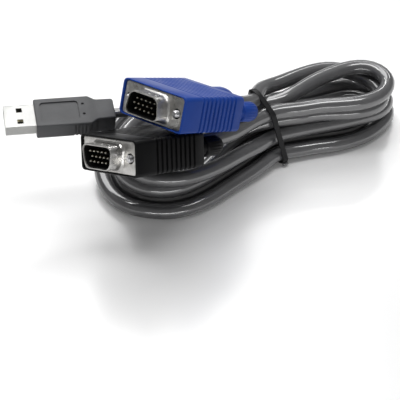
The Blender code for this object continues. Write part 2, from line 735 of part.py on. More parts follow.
def build():
    remove_everything()
    finishes = {
        "black": material("black_plastic", (0.02, 0.02, 0.022), 0.35),
        "blue": material("blue_plastic", (0.03, 0.075, 0.50), 0.38),
        "cable": material("cable_jacket", (0.035, 0.035, 0.04), 0.35),
        "nickel": material("nickel_plate", (0.80, 0.78, 0.74), 0.25, 1.0),
        "steel": material("screw_steel", (0.55, 0.55, 0.55), 0.35, 1.0),
        "pin": material("gold_flash", (0.85, 0.66, 0.32), 0.25, 1.0),
        "insulator": material("insulator_plastic", (0.03, 0.03, 0.035), 0.5),
        "strap": material("strap_plastic", (0.012, 0.012, 0.012), 0.45),
    }
    footprint = empty("footprint", -FOOTPRINT_MIDDLE)
    black = empty("black_plug", BLACK_PLACE, BLACK_PITCH, BLACK_ROLL, BLACK_HEADING, footprint)
    blue = empty("blue_plug", BLUE_PLACE, BLUE_PITCH, BLUE_ROLL, BLUE_HEADING, footprint)
    usb = empty("usb_plug", USB_PLACE, USB_PITCH, USB_ROLL, USB_HEADING, footprint)
    make_video_plug("black", black, finishes, finishes["black"], 1)
    make_video_plug("blue", blue, finishes, finishes["blue"], -1)
    make_usb_plug(usb, finishes)

    neck_end = HOOD_LENGTH + NECK_LENGTH + SEAT_GAP
    usb_neck_end = USB_HOOD_LENGTH + USB_NECK_LENGTH + SEAT_GAP
    make_tube("black_tail", plug_point(black, 0.0, neck_end, 0.0), BLACK_TAIL_ROUTE, None,
              CABLE_DIAMETER, footprint, finishes["cable"], 3)
    make_tube("blue_tail", plug_point(blue, CABLE_BESIDE_LEAD, neck_end, 0.0), BLUE_TAIL_ROUTE, None,
              CABLE_DIAMETER, footprint, finishes["cable"], 3)
    make_tube("usb_lead", plug_point(blue, -LEAD_OFFSET, neck_end, 0.0), USB_LEAD_ROUTE,
              plug_point(usb, 0.0, usb_neck_end, 0.0), LEAD_DIAMETER, footprint, finishes["cable"], 2)

    make_hank(footprint, finishes["cable"])
    make_strap(footprint, finishes["strap"])


build()
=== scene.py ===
"""Looks of the tied cable set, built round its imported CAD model."""

import math

import bmesh
import bpy
import numpy as np
from bpy.props import FloatProperty, FloatVectorProperty, PointerProperty
from mathutils import Euler, Matrix, Vector


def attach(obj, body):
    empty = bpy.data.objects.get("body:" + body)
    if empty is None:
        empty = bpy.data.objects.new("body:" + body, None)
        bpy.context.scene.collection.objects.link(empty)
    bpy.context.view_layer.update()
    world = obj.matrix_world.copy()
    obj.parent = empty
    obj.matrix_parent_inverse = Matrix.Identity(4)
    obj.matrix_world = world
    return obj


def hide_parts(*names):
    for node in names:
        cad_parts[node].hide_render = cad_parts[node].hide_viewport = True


bl_info = {
    "name": "Tied cable set",
    "version": (1, 0, 0),
    "blender": (4, 5, 0),
    "location": "3D View > Sidebar > Cable set",
    "description": "Builds a tied keyboard, video and mouse cable with its plugs and its stage",
    "category": "Object",
}

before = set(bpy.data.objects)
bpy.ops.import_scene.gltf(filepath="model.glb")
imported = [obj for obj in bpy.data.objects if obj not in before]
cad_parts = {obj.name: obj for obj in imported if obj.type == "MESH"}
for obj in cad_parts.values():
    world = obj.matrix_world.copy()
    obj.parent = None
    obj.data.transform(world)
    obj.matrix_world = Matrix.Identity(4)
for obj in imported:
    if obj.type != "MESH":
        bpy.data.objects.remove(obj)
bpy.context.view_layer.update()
MM = 0.001
MAIN_BODY = "cable_set"

# Each plug's place in millimetres and its pitch, roll and heading in degrees, as in the CAD
BLACK_AT = ((-39.1, -42.7, 41.8), (-18.1, -22.7, -50.4))
BLUE_AT = ((-22.9, -28.6, 54.7), (-24.8, -10.3, -46.7))
USB_AT = ((-69.7, -16.9, 40.0), (-3.9, 11.3, -77.6))

# Faces that meet at less than this many degrees are shaded as one, where nothing else is said
SMOOTH_ANGLE = 40

# A plug's own frame is X across, Y back from its front face and Z up, in millimetres. Cords
# and knobs start by SEAT behind the face they come out of.
SEAT = 0.3

# Video plug: hood, neck and the two cords that leave the blue one's neck
HOOD_SIZE = (33.4, 14.0)
HOOD_LENGTH = 33.6
POCKET_SIZE = (31.3, 13.0)
GROOVES = 9
GROOVE_START = 9.0
GROOVE_PITCH = 2.3
GROOVE_WIDTH = 1.1
GROOVE_DEPTH = 0.8
NECK_RADIUS = 6.9
NECK_LENGTH = 8.6
NECK_END = HOOD_LENGTH + NECK_LENGTH + SEAT
CABLE_X = 2.2
LEAD_X = -4.4

# Video plug: face plate, D-shaped shell and the dark lining inside it, which is painted shade
PLATE_SIZE = (30.8, 12.5)
SHELL_SIZE = (16.9, 8.36)
SHELL_FRONT = -5.9
SHELL_TAPER = math.radians(10)
SHADE_LINING_SIZE = (16.5, 7.96)
DIMPLE_RADIUS = 0.85
DIMPLE_SPACING = 4.4

# Video plug: thumbscrews and the holes they pass
SCREW_X = 24.99 / 2
HOLE_RADIUS = 2.0
SHANK_RADIUS = 1.42
THREAD_ROOT = 1.12
THREAD_PITCH = 0.635
SCREW_TIP = -1.5
KNOB_RADIUS = 4.0
KNOB_LENGTH = 10.9
KNOB_RIBS = 22
RIB_DEPTH = 0.26

# Small plug
USB_HOOD_SIZE = (15.3, 7.0)
USB_HOOD_LENGTH = 21.4
USB_POCKET_SIZE = (12.5, 5.0)
USB_NECK_LENGTH = 9.8
USB_NECK_DROP = 1.3
USB_REAR = USB_HOOD_LENGTH + USB_NECK_LENGTH
USB_RECESS = (10.2, 15.0)
USB_RECESS_AT = 9.7
USB_RECESS_DEPTH = 0.5
USB_GROOVES = 5
USB_GROOVE_START = 15.0
USB_GROOVE_PITCH = 1.4
USB_GROOVE_WIDTH = 0.7
USB_DIMPLES = ((-3.1, 19.0), (2.3, 19.0))
USB_SHELL_SIZE = (11.2, 3.7)
USB_WINDOW = 2.3
USB_WINDOW_AT = (3.0, -5.9)

# The strap's turn on the hank's waist: the middle of the waist, and directions seen from above
TIE_AT = np.array((23.8, 15.5))
TIE_TURN = math.radians(25)
ALONG = np.array((math.cos(TIE_TURN), math.sin(TIE_TURN)))
ACROSS = np.array((-math.sin(TIE_TURN), math.cos(TIE_TURN)))

# How the strap strays from a plain upright ring. Places are across and up from TIE_AT. From
# its foot it leans back by a share of its height, and slants back by a share of its way across
# as far as its crest, from where it comes forward again. All of it is moved forward a little.
TIE_FOOT = (-12.5, 2.0)
TIE_LEAN = 0.19
TIE_SLANT = 0.26
TIE_CREST = 5.0
TIE_RETURN = 0.5
TIE_FORWARD = 1.7

# Where each of the twelve strands passes the strap, across and up
TIE_SLOTS = {
    "F": (-9.3, 4.8), "E": (-5.5, 11.3), "D": (-3.4, 17.8), "C": (-6.4, 24.6),
    "G": (-2.2, 4.8), "H": (1.1, 11.3), "Q": (3.3, 17.9), "A": (0.3, 25.6),
    "X": (5.0, 4.8), "Y": (7.8, 11.3), "P": (9.9, 17.6), "B": (6.8, 24.4),
}

# Each loop of the hank runs from one slot to another and is named by the two
LOOPS = {
    "CA": ((36.3, 12.2, 24), (45.3, 14.7, 24), (53.3, 15.4, 24), (62.3, 16.9, 24),
           (69.5, 20.5, 24), (74.2, 26.5, 24), (75.6, 33, 24.5), (72.8, 38.5, 25.3),
           (66, 41.3, 26), (58.5, 39.8, 26), (50.2, 35.2, 26), (43.3, 30.3, 26),
           (37.3, 24.5, 26), (30.3, 18.5, 26)),
    "AF": ((13, 22.5, 22), (4, 26, 18), (-7, 27.5, 16.4), (-20, 28.5, 16.3), (-30, 27, 15.5),
           (-38.5, 21.5, 13.5), (-44, 12.5, 11), (-46.2, 1, 8), (-45.3, -10, 5),
           (-41, -19.5, 3.6), (-34.5, -26, 3.5), (-25.7, -29.2, 3.5), (-15.7, -29.6, 3.5),
           (-4.2, -24.2, 3.5), (9, -11.8, 3.7), (18.6, -2.8, 4.3)),
    "FX": ((37.3, 10.5, 4), (43.3, 12.5, 4), (52.3, 14.7, 3.6), (59.3, 17.5, 3.6),
           (66.3, 21.5, 3.6), (72.3, 27.5, 3.6), (77, 34.5, 3.6), (78, 43, 3.6), (74, 50, 3.6),
           (66, 53, 3.6), (56, 51.5, 3.6), (47, 46, 3.6), (38.5, 37.5, 3.6), (31, 28.5, 4)),
    "XG": ((14.5, 20.5, 4), (5, 24.5, 3.5), (-7, 28, 3.5), (-20.5, 30, 3.5), (-30.5, 27.5, 3.5),
           (-37, 20, 3.5), (-39.5, 10.5, 3.5), (-39.7, 0, 3.5), (-37.5, -10.5, 3.5),
           (-31, -18.5, 3.5), (-20, -22.5, 3.5), (-9, -18, 3.5), (2, -8.3, 3.6), (12, 1, 4)),
    "GY": ((38, 18.5, 4.3), (46, 21.3, 3.6), (55, 23, 3.6), (63, 26, 3.6), (66.5, 30.5, 3.6),
           (67.3, 37, 3.6), (63.5, 42, 3.6), (58, 43, 3.6), (52, 42.8, 3.6),
           (44.5, 37.5, 4), (37, 31, 6.5), (30, 26, 9.5)),
    "YH": ((13, 21, 8), (4, 20.5, 4.5), (-12.7, 22, 3.5), (-25, 21, 3.5), (-33, 14.5, 4.5),
           (-36.5, 6, 7.5), (-38.8, -3, 9.8), (-37.5, -12, 9.9), (-31.5, -20, 9.8),
           (-22.5, -24, 9.8), (-13.5, -22.8, 9.8), (-5, -17.5, 10), (5, -8.6, 10.3),
           (13.5, 0, 10.8)),
    "HQ": ((37.5, 22, 11), (46, 25, 10.5), (55, 27.3, 10.2), (62, 29.5, 10.2), (67.3, 33.5, 10.2),
           (67.8, 38.3, 10.2), (63.5, 41.3, 10.2), (57, 40.8, 10.3), (50.5, 38, 10.6), (44, 34, 12),
           (37, 28.5, 14.5), (30, 22.5, 17)),
    "QE": ((14, 19.5, 15), (4, 20.5, 12), (-12.7, 21.5, 10.8), (-23, 20.5, 13), (-31, 15.5, 16),
           (-36, 7, 16.6), (-38.3, -3, 16.4), (-35, -14.5, 16.3), (-28, -22.7, 16.3),
           (-17, -25.6, 16.3), (-6.7, -21, 14.9), (2.5, -12.9, 13.2), (10.3, -5.2, 12.8),
           (18, 1.8, 12.2)),
    "EP": ((37.3, 15.6, 11), (46.3, 18.6, 11), (55.3, 21.4, 11), (64.3, 25.3, 10.8),
           (72.2, 29.7, 10.1), (76.4, 35.8, 9.9), (77, 42, 9.9), (73.5, 47, 10.2),
           (67, 49, 10.7), (59.5, 48, 11.5), (52.5, 44.5, 12.2), (45, 39, 13),
           (37, 33, 14.5), (29, 29, 16.5)),
    "PD": ((12.5, 26, 15.5), (4, 27, 12), (-7, 28, 10), (-20.5, 30, 9.9), (-29, 27.5, 9.9),
           (-33.5, 21, 10.2), (-34.5, 13, 10), (-33, 4, 7.5), (-31.5, -5, 4.5),
           (-27, -12.5, 3.7), (-19, -15.8, 3.6), (-8.5, -11.5, 4), (1, -2.5, 7), (10, 5.5, 12.5),
           (17.5, 9.8, 16)),
    "DB": ((37.3, 15.6, 17.6), (45.3, 17.9, 17.6), (54.3, 18.4, 17.6), (62.3, 19.4, 17.6),
           (69, 22.5, 17.5), (73.3, 27.5, 17.5), (73.6, 33.5, 17.8), (70.5, 39, 18.6),
           (65, 43.3, 19.8), (57, 46, 21), (48.5, 45, 21.8), (38.3, 39, 22.3), (29.8, 31.3, 23)),
}

# The order of the loops from the black plug to the blue one
LOOP_ORDER = ("CA", "AF", "FX", "XG", "GY", "YH", "HQ", "QE", "EP", "PD", "DB")

# From each plug's neck to the strap, and from the blue plug's neck to the small plug
BLACK_TAIL = ((0.8, -11.2, 26.0), (8.8, -4.6, 24.4), (17.2, 4.2, 24.3))
BLUE_TAIL = ((10.7, 0.2, 34.3), (14.9, 5.0, 30.8), (18.3, 11.0, 26.8))
LEAD_ROUTE = (
    (5.7, 4.8, 34.4), (7.2, 10.0, 30.4), (4.9, 14.4, 26.0), (-0.3, 16.8, 23.0),
    (-7.1, 16.4, 22.2), (-14.3, 12.4, 23.2), (-20.9, 5.8, 26.6), (-26.9, -1.2, 31.4),
    (-31.7, -6.4, 35.6),
)

# How the cords are drawn: the straight first points at a neck, in diameters, and the spacing
STRAIGHT_SHARES = (0.0, 0.4, 1.0)
CABLE_SPACING = 3.0
LEAD_SPACING = 1.5

# How the strands settle, in millimetres. At each step strands that are too close push each
# other apart by a share of their overlap, and the cable holds a share of its shift so far.
# Points of the cable closer along it than SAME_STRAND diameters don't push each other, and it
# is stiff for the first STIFF_END at each plug.
SETTLING_STEPS = 300
PUSH = 0.8
HOLD = 0.985
SAME_STRAND = 2.2
STIFF_END = 14.0
STRAND_CLEARANCE = 0.12
FLOOR_CLEARANCE = 0.05

# The highest places of the strands' middles: lower under the plugs, which is left of
# LEFT_PART along the hank, and free for a tail's length from each plug
LEFT_PART = -8.0
LEFT_CEILING = 16.6
RIGHT_CEILING = 26.3
LOOSE_TAIL = 75.0
NO_CEILING = 99.0

# The strap runs under the strands and lifts them there, less and less beside it
STRAP_LIFT = 1.3
STRAP_HALF = 2.5
STRAP_FADE = 3.5

# The photograph's camera, in millimetres and degrees
CAMERA_AT = (-4.7, -402.0, 318.2)
CAMERA_TILT = 50.33
CAMERA_LENS = 109.2
CAMERA_SHIFT = -0.003

# Each lamp's name, place, aim and size in metres, and its watts
LAMPS = (
    ("main softbox", (-0.26, 0.5, 0.9), (0.0, 0.02, 0.0), (1.0, 0.6), 5.7),
    ("overhead strip", (0.0, 0.0, 0.9), (0.0, 0.0, 0.0), (0.9, 0.26), 4.0),
    ("rear strip", (0.1, 0.85, 0.62), (0.0, 0.02, 0.0), (1.0, 0.05), 1.6),
    ("front strip", (0.1, -1.0, 0.1), (0.0, 0.0, 0.02), (1.2, 0.07), 2.1),
)
WORLD_LEVEL = 0.16
FLOOR_MIRROR = 0.13
FLOOR_GLOW = 0.072


class CableSizes(bpy.types.PropertyGroup):
    """Sizes of the cords"""

    main_diameter: FloatProperty(
        name="Main cable", description="Diameter of the main cable", default=0.0065, unit="LENGTH"
    )
    main_length: FloatProperty(
        name="Main length", description="Real length of the main cable", default=1.8, unit="LENGTH"
    )
    lead_diameter: FloatProperty(
        name="Thin lead", description="Diameter of the thin lead", default=0.0038, unit="LENGTH"
    )
    strap_width: FloatProperty(
        name="Tie width", description="Width of the tie's strap", default=0.0023, unit="LENGTH"
    )
    strap_thickness: FloatProperty(
        name="Tie thickness", description="Thickness of the tie's strap", default=0.001,
        unit="LENGTH",
    )


class PlugColours(bpy.types.PropertyGroup):
    """Colours of the moulded pieces and the metal"""

    black: FloatVectorProperty(
        name="Black plastic", description="Colour of the black hoods and knobs", subtype="COLOR",
        default=(0.003, 0.003, 0.0035),
    )
    blue: FloatVectorProperty(
        name="Blue plastic", description="Colour of the blue hood and knobs", subtype="COLOR",
        default=(0.014, 0.055, 0.3),
    )
    jacket: FloatVectorProperty(
        name="Cable jacket", description="Colour of the cable's jacket", subtype="COLOR",
        default=(0.088, 0.088, 0.092),
    )
    nickel: FloatVectorProperty(
        name="Nickel", description="Colour of the plated faces", subtype="COLOR",
        default=(0.62, 0.61, 0.59),
    )


def sizes():
    return bpy.context.scene.cable_sizes


def colours():
    return bpy.context.scene.plug_colours


# Materials


def new_group(name, inputs, outputs):
    """A node group with its sockets, and its nodes for what comes in and what goes out.

    Each socket is given by its name and kind, and an input may have a default.
    """
    group = bpy.data.node_groups.new(name, "ShaderNodeTree")
    for direction, sockets in (("INPUT", inputs), ("OUTPUT", outputs)):
        for label, kind, *default in sockets:
            made = group.interface.new_socket(
                name=label, in_out=direction, socket_type="NodeSocket" + kind
            )
            if default:
                made.default_value = default[0]
    return group, group.nodes.new("NodeGroupInput"), group.nodes.new("NodeGroupOutput")


def range_node(nodes, lowest, highest):
    """A node that spreads the middle of a texture's or a product's values over 0 to 1."""
    made = nodes.new("ShaderNodeMapRange")
    made.inputs["From Min"].default_value = lowest
    made.inputs["From Max"].default_value = highest
    return made


def grain_group():
    """Fine moulded or drawn grain: a roughness that varies and a height for bump."""
    name = "Surface grain"
    if name in bpy.data.node_groups:
        return bpy.data.node_groups[name]
    group, start, end = new_group(
        name,
        (("Vector", "Vector"), ("Scale", "Float", 2000.0), ("Smoothest", "Float", 0.25),
         ("Roughest", "Float", 0.4)),
        (("Roughness", "Float"), ("Height", "Float")),
    )
    nodes, links = group.nodes, group.links
    fine = nodes.new("ShaderNodeTexNoise")
    fine.inputs["Detail"].default_value = 3.0
    broad_scale = nodes.new("ShaderNodeMath")
    broad_scale.operation = "MULTIPLY"
    broad_scale.inputs[1].default_value = 0.06
    broad = nodes.new("ShaderNodeTexNoise")
    broad.inputs["Detail"].default_value = 4.0
    spread = range_node(nodes, 0.35, 0.65)
    links.new(start.outputs["Vector"], fine.inputs["Vector"])
    links.new(start.outputs["Scale"], fine.inputs["Scale"])
    links.new(start.outputs["Scale"], broad_scale.inputs[0])
    links.new(start.outputs["Vector"], broad.inputs["Vector"])
    links.new(broad_scale.outputs[0], broad.inputs["Scale"])
    links.new(broad.outputs["Fac"], spread.inputs["Value"])
    links.new(start.outputs["Smoothest"], spread.inputs["To Min"])
    links.new(start.outputs["Roughest"], spread.inputs["To Max"])
    links.new(spread.outputs["Result"], end.inputs["Roughness"])
    links.new(fine.outputs["Fac"], end.inputs["Height"])
    return group


def mottle_group():
    """Slow change of a colour between two shades, as handling and moulding leave."""
    name = "Colour mottle"
    if name in bpy.data.node_groups:
        return bpy.data.node_groups[name]
    group, start, end = new_group(
        name,
        (("Vector", "Vector"), ("Scale", "Float", 120.0),
         ("Darker", "Color", (0.1, 0.1, 0.1, 1.0)), ("Lighter", "Color", (0.2, 0.2, 0.2, 1.0))),
        (("Color", "Color"),),
    )
    nodes, links = group.nodes, group.links
    noise = nodes.new("ShaderNodeTexNoise")
    noise.inputs["Detail"].default_value = 5.0
    noise.inputs["Roughness"].default_value = 0.6
    spread = range_node(nodes, 0.3, 0.7)
    blend = nodes.new("ShaderNodeMix")
    blend.data_type = "RGBA"
    links.new(start.outputs["Vector"], noise.inputs["Vector"])
    links.new(start.outputs["Scale"], noise.inputs["Scale"])
    links.new(noise.outputs["Fac"], spread.inputs["Value"])
    links.new(spread.outputs["Result"], blend.inputs["Factor"])
    links.new(start.outputs["Darker"], blend.inputs["A"])
    links.new(start.outputs["Lighter"], blend.inputs["B"])
    links.new(blend.outputs["Result"], end.inputs["Color"])
    return group


def facing_group():
    """A mask that is 1 on faces that look along the axis and 0 on those beside it; the pins use it
    for painted shade on their sides.
    """
    name = "Facing mask"
    if name in bpy.data.node_groups:
        return bpy.data.node_groups[name]
    group, start, end = new_group(name, (("Axis", "Vector"),), (("Mask", "Float"),))
    nodes, links = group.nodes, group.links
    geometry = nodes.new("ShaderNodeNewGeometry")
    alike = nodes.new("ShaderNodeVectorMath")
    alike.operation = "DOT_PRODUCT"
    spread = range_node(nodes, 0.3, 0.6)
    links.new(geometry.outputs["True Normal"], alike.inputs[0])
    links.new(start.outputs["Axis"], alike.inputs[1])
    links.new(alike.outputs["Value"], spread.inputs["Value"])
    links.new(spread.outputs["Result"], end.inputs["Mask"])
    return group


def finish(
    name, colour, smoothest, roughest, metallic=0.0, grain=2500.0, depth=0.02, mottle=0.12,
    mottle_scale=150.0, specular=0.5, gloss=0.0,
):
    """A procedural finish with grain, slow colour change and, if asked, a clear gloss."""
    if name in bpy.data.materials:
        return bpy.data.materials[name]
    made = bpy.data.materials.new(name)
    made.use_nodes = True
    nodes, links = made.node_tree.nodes, made.node_tree.links
    shader = nodes["Principled BSDF"]
    shader.inputs["Metallic"].default_value = metallic
    shader.inputs["Specular IOR Level"].default_value = specular
    shader.inputs["Coat Weight"].default_value = gloss
    shader.inputs["Coat Roughness"].default_value = 0.08
    shader.inputs["Coat IOR"].default_value = 2.0
    place = nodes.new("ShaderNodeTexCoord")
    surface = nodes.new("ShaderNodeGroup")
    surface.node_tree = grain_group()
    surface.inputs["Scale"].default_value = grain
    surface.inputs["Smoothest"].default_value = smoothest
    surface.inputs["Roughest"].default_value = roughest
    shades = nodes.new("ShaderNodeGroup")
    shades.node_tree = mottle_group()
    shades.inputs["Scale"].default_value = mottle_scale
    shades.inputs["Darker"].default_value = (*(c * (1 - mottle) for c in colour), 1.0)
    shades.inputs["Lighter"].default_value = (*(min(c * (1 + mottle), 1.0) for c in colour), 1.0)
    bump = nodes.new("ShaderNodeBump")
    bump.inputs["Strength"].default_value = 1.0
    bump.inputs["Distance"].default_value = depth * MM
    for group in (surface, shades):
        links.new(place.outputs["Object"], group.inputs["Vector"])
    links.new(surface.outputs["Roughness"], shader.inputs["Roughness"])
    links.new(surface.outputs["Height"], bump.inputs["Height"])
    links.new(bump.outputs["Normal"], shader.inputs["Normal"])
    links.new(shades.outputs["Color"], shader.inputs["Base Color"])
    return made


def plastic(colour_name):
    """The moulded plastic of the black or the blue plug."""
    colour = getattr(colours(), colour_name)
    return finish(colour_name + " moulded plastic", colour, 0.3, 0.42, grain=1800, depth=0.006,
                  mottle=0.06, specular=0.18)


def small_hood_plastic():
    return finish("grained black plastic", (0.066, 0.067, 0.071), 0.4, 0.52, grain=1500,
                  depth=0.012, mottle=0.1, specular=0.45)


def jacket():
    return finish("glossy cable jacket", colours().jacket, 0.38, 0.46, grain=900, depth=0.006,
                  mottle=0.15, specular=0.6, gloss=1.0)


def plated():
    return finish("satin nickel plate", colours().nickel, 0.24, 0.4, metallic=1.0, grain=2200,
                  depth=0.006, mottle=0.22, mottle_scale=420)


def polished():
    return finish("bright nickel shell", (0.45, 0.45, 0.44), 0.42, 0.5, metallic=1.0, grain=1500,
                  depth=0.002, mottle=0.05, mottle_scale=400)


def gilt():
    return finish("gilt contacts", (0.98, 0.9, 0.7), 0.12, 0.2, metallic=1.0, grain=3000,
                  depth=0.002, mottle=0.1, mottle_scale=800)


def pin_gilt_painted_shade(prefix, at):
    """Gilt that is bright at the pins' tips, which face forward, with painted shade along their
    sides, where the inside of the shell shades them.
    """
    name = prefix + " gilt pins"
    if name in bpy.data.materials:
        return bpy.data.materials[name]
    made = finish(name, (0.98, 0.92, 0.8), 0.3, 0.42, metallic=1.0, grain=3000, depth=0.002,
                  mottle=0.08, mottle_scale=800)
    nodes, links = made.node_tree.nodes, made.node_tree.links
    base = nodes["Principled BSDF"].inputs["Base Color"]
    bright = base.links[0].from_socket
    mask = nodes.new("ShaderNodeGroup")
    mask.node_tree = facing_group()
    mask.inputs["Axis"].default_value = plug_matrix(at).to_3x3() @ Vector((0.0, -1.0, 0.0))
    # Painted shade: the pins' sides get a dark brown in place of the shade they lie in
    shade = nodes.new("ShaderNodeMix")
    shade.data_type = "RGBA"
    shade.inputs["A"].default_value = (0.1, 0.075, 0.04, 1.0)
    links.new(mask.outputs["Mask"], shade.inputs["Factor"])
    links.new(bright, shade.inputs["B"])
    links.new(shade.outputs["Result"], base)
    return made


def screw_steel():
    return finish("zinc plated steel", (0.6, 0.6, 0.61), 0.25, 0.4, metallic=1.0, grain=2500,
                  depth=0.004, mottle=0.12, mottle_scale=700)


def insulator_plastic():
    return finish("dark insulator", (0.005, 0.005, 0.005), 0.4, 0.55, grain=2500, depth=0.006,
                  mottle=0.2, mottle_scale=600, specular=0.15)


def tongue_plastic():
    return finish("grey tongue", (0.2, 0.2, 0.18), 0.4, 0.55, grain=2500, depth=0.006,
                  mottle=0.25, mottle_scale=900, specular=0.3)


def strap_plastic():
    return finish("black tie", (0.01, 0.01, 0.011), 0.4, 0.55, grain=1600, depth=0.02,
                  mottle=0.15, mottle_scale=400, specular=0.3)


# Meshes


def plug_turn(at):
    """How a plug is turned from its own frame."""
    return Euler([math.radians(angle) for angle in at[1]], "YXZ").to_matrix()


def plug_matrix(at):
    """A plug's place in the scene, in metres."""
    return Matrix.Translation(Vector(at[0]) * MM) @ plug_turn(at).to_4x4()


def shifted(matrix, across):
    """A plug's matrix moved sideways in its own frame, in millimetres."""
    return matrix @ Matrix.Translation((across * MM, 0, 0))


def drawn(corners, corner_radius, segments, stations):
    """A closed solid drawn along Y, in millimetres.

    Its outline in XZ is given by its corners, which are rounded, and each station is the place
    along Y with the outline's width and height there.
    """
    mesh = bmesh.new()
    face = mesh.faces.new([mesh.verts.new((x, 0.0, z)) for x, z in corners])
    bmesh.ops.bevel(
        mesh, geom=list(face.verts), offset=corner_radius, segments=segments, profile=0.5,
        affect="VERTICES", material=-1,
    )
    face = mesh.faces[:][0]
    width = max(x for x, _ in corners) - min(x for x, _ in corners)
    height = max(z for _, z in corners) - min(z for _, z in corners)
    for number, (y, new_width, new_height) in enumerate(stations):
        if number:
            made = bmesh.ops.extrude_face_region(mesh, geom=[face])
            if number > 1:
                mesh.faces.remove(face)
            face = [item for item in made["geom"] if isinstance(item, bmesh.types.BMFace)][0]
        bmesh.ops.scale(mesh, vec=(new_width / width, 1.0, new_height / height), verts=face.verts)
        for vertex in face.verts:
            vertex.co.y = y
        width, height = new_width, new_height
    bmesh.ops.recalc_face_normals(mesh, faces=mesh.faces)
    return mesh


def box_corners(width, height):
    right, up = width / 2, height / 2
    return ((-right, -up), (right, -up), (right, up), (-right, up))


def widened(size, steps):
    """Stations for drawn(), each from a place along Y and how much wider and higher it is."""
    width, height = size
    return [(y, width + more, height + more) for y, more in steps]


def shell_corners(width, height, wide_side):
    """The D outline: its wide side is above for 1 and below for -1."""
    lean = height * math.tan(SHELL_TAPER)
    wide, narrow = width / 2, width / 2 - lean
    up = height / 2 * wide_side
    return ((-narrow, -up), (narrow, -up), (wide, up), (-wide, up))


def turned(profile, steps=48):
    """A solid turned about Y from its profile of places along Y and radii, in millimetres."""
    mesh = bmesh.new()
    points = [mesh.verts.new((radius, y, 0.0)) for y, radius in profile]
    edges = [mesh.edges.new(pair) for pair in zip(points, points[1:])]
    bmesh.ops.spin(
        mesh, geom=points + edges, cent=(0, 0, 0), axis=(0, 1, 0), dvec=(0, 0, 0),
        angle=2 * math.pi, steps=steps, use_merge=True,
    )
    bmesh.ops.remove_doubles(mesh, verts=mesh.verts, dist=1e-5)
    bmesh.ops.recalc_face_normals(mesh, faces=mesh.faces)
    return mesh


def block(width, length, height, radius, y, z):
    """A rounded upright block that cuts a recess, its middle at y and its lowest face at z."""
    mesh = bmesh.new()
    corners = [mesh.verts.new((x, y + along, z)) for x, along in box_corners(width, length)]
    face = mesh.faces.new(corners)
    bmesh.ops.bevel(mesh, geom=list(face.verts), offset=radius, segments=5, profile=0.5,
                    affect="VERTICES", material=-1)
    made = bmesh.ops.extrude_face_region(mesh, geom=[mesh.faces[:][0]])
    top = [item for item in made["geom"] if isinstance(item, bmesh.types.BMVert)]
    bmesh.ops.translate(mesh, vec=(0.0, 0.0, height), verts=top)
    bmesh.ops.recalc_face_normals(mesh, faces=mesh.faces)
    return mesh


def ball(radius, place):
    """A round cutter for dimples."""
    mesh = bmesh.new()
    bmesh.ops.create_uvsphere(mesh, u_segments=20, v_segments=12, radius=radius)
    bmesh.ops.translate(mesh, vec=place, verts=mesh.verts)
    return mesh


def link_piece(name, data, material, body, stands_for=()):
    """Make the object of a mesh or curve, and say which CAD nodes it is drawn instead of."""
    made = bpy.data.objects.new(name, data)
    data.materials.append(material)
    bpy.context.scene.collection.objects.link(made)
    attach(made, body)
    if stands_for:
        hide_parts(*stands_for)
    return made


def piece(name, mesh, matrix, material, body, stands_for=(), smooth_angle=SMOOTH_ANGLE):
    """Put a mesh that was made in millimetres into its place and link it."""
    bmesh.ops.scale(mesh, vec=(MM, MM, MM), verts=mesh.verts)
    bmesh.ops.transform(mesh, matrix=matrix, verts=mesh.verts)
    data = bpy.data.meshes.new(name)
    mesh.to_mesh(data)
    mesh.free()
    data.shade_smooth()
    data.set_sharp_from_angle(angle=math.radians(smooth_angle))
    return link_piece(name, data, material, body, stands_for)


def cut(target, cutter_mesh, matrix):
    """Take a mesh in millimetres out of a piece, and leave no modifier or cutter."""
    bmesh.ops.scale(cutter_mesh, vec=(MM, MM, MM), verts=cutter_mesh.verts)
    bmesh.ops.transform(cutter_mesh, matrix=matrix, verts=cutter_mesh.verts)
    data = bpy.data.meshes.new("cutter")
    cutter_mesh.to_mesh(data)
    cutter_mesh.free()
    cutter = bpy.data.objects.new("cutter", data)
    bpy.context.scene.collection.objects.link(cutter)
    modifier = target.modifiers.new("cut", "BOOLEAN")
    modifier.solver = "EXACT"
    modifier.object = cutter
    graph = bpy.context.evaluated_depsgraph_get()
    result = bpy.data.meshes.new_from_object(target.evaluated_get(graph))
    target.modifiers.remove(modifier)
    old = target.data
    target.data = result
    result.name = target.name
    bpy.data.meshes.remove(old)
    bpy.data.objects.remove(cutter, do_unlink=True)
    bpy.data.meshes.remove(data)
    result.shade_smooth()
    result.set_sharp_from_angle(angle=math.radians(SMOOTH_ANGLE))


def soften(target, width, segments=2):
    """Round a piece's sharp edges a little, so that they catch the light."""
    modifier = target.modifiers.new("soft edges", "BEVEL")
    modifier.width = width * MM
    modifier.segments = segments
    modifier.limit_method = "ANGLE"
    modifier.angle_limit = math.radians(35)


# Cords


def plug_exit(at, x, y, diameter):
    """The first points of a cord that leaves a plug's neck straight, in millimetres."""
    turn = plug_turn(at)
    start = Vector(at[0]) + turn @ Vector((x, y, 0.0))
    heading = turn @ Vector((0.0, 1.0, 0.0))
    return [tuple(start + heading * diameter * share) for share in STRAIGHT_SHARES]


def tie_slot(name):
    """Where a strand passes the strap."""
    across, up = TIE_SLOTS[name]
    x, y = TIE_AT + ACROSS * across
    return (x, y, up)


